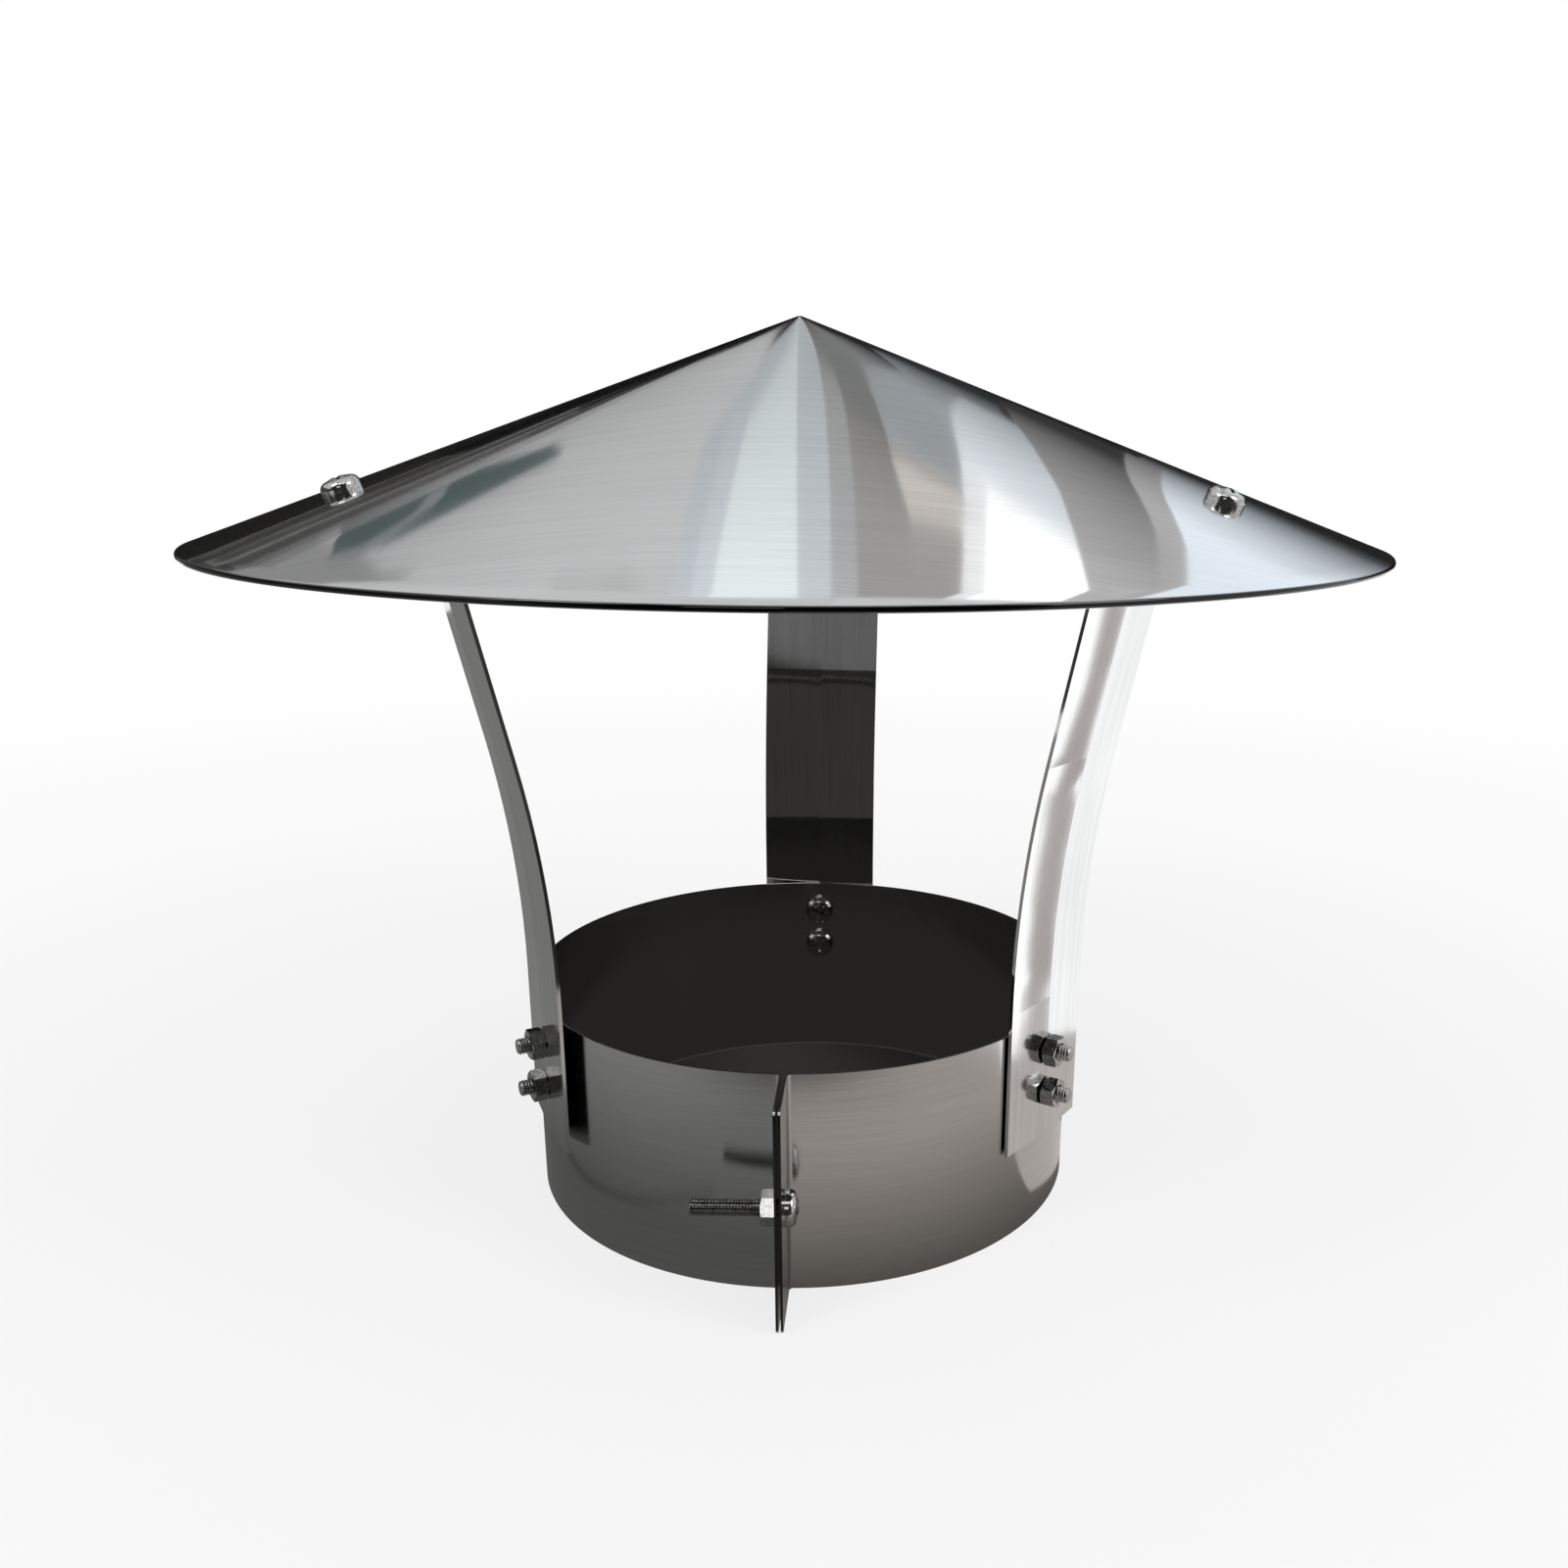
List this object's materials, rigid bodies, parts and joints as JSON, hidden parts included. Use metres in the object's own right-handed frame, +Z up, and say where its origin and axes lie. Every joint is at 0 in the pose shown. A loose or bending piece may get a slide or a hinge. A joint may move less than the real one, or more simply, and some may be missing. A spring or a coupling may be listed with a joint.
{
  "type": "chimney rain cap",
  "caption": "Conical stainless rain cap on three flared straps, bolted to a split collar that clamps round a chimney flue.",
  "frame": {"origin": "on the flue's axis, in the plane of the collar's lower edge", "axes": "+Z up along the flue's axis, -Y towards the clamp ears, +X towards the head of the clamp screw"},
  "size_m": [0.397, 0.397, 0.3096],
  "materials": {
    "hat_steel": "brushed, bright",
    "collar_steel": "mill finish, satin",
    "strap_steel": "mill finish, satin",
    "fastener_steel": "bright, turned and rolled"
  },
  "bodies": {
    "cap": {"hat": "hat_steel", "collar_band": "collar_steel", "rear_strap": "strap_steel", "left_strap": "strap_steel", "right_strap": "strap_steel", "rear_strap_screw_lower": "fastener_steel", "rear_strap_nut_lower": "fastener_steel", "rear_strap_screw_upper": "fastener_steel", "rear_strap_nut_upper": "fastener_steel", "rear_hat_screw": "fastener_steel", "rear_hat_nut": "fastener_steel", "left_strap_screw_lower": "fastener_steel", "left_strap_nut_lower": "fastener_steel", "left_strap_screw_upper": "fastener_steel", "left_strap_nut_upper": "fastener_steel", "left_hat_screw": "fastener_steel", "left_hat_nut": "fastener_steel", "right_strap_screw_lower": "fastener_steel", "right_strap_nut_lower": "fastener_steel", "right_strap_screw_upper": "fastener_steel", "right_strap_nut_upper": "fastener_steel", "right_hat_screw": "fastener_steel", "right_hat_nut": "fastener_steel"},
    "clamp_screw": {"clamp_screw": "fastener_steel"},
    "clamp_nut": {"clamp_nut": "fastener_steel"}
  },
  "joints": [
    {"name": "clamp_screw_turn", "type": "hinge", "parent": "cap", "child": "clamp_screw", "pos_m": [0, -0.1158, 0.039], "axis": [1, 0, 0], "range_deg": [0, 7920]},
    {"name": "clamp_nut_travel", "type": "slide", "parent": "cap", "child": "clamp_nut", "axis": [-1, 0, 0], "range_m": [0, 0.0221]}
  ],
  "couplings": [
    {"joint": "clamp_nut_travel", "follows": "clamp_screw_turn", "m_per_rad": 0.00015915}
  ]
}
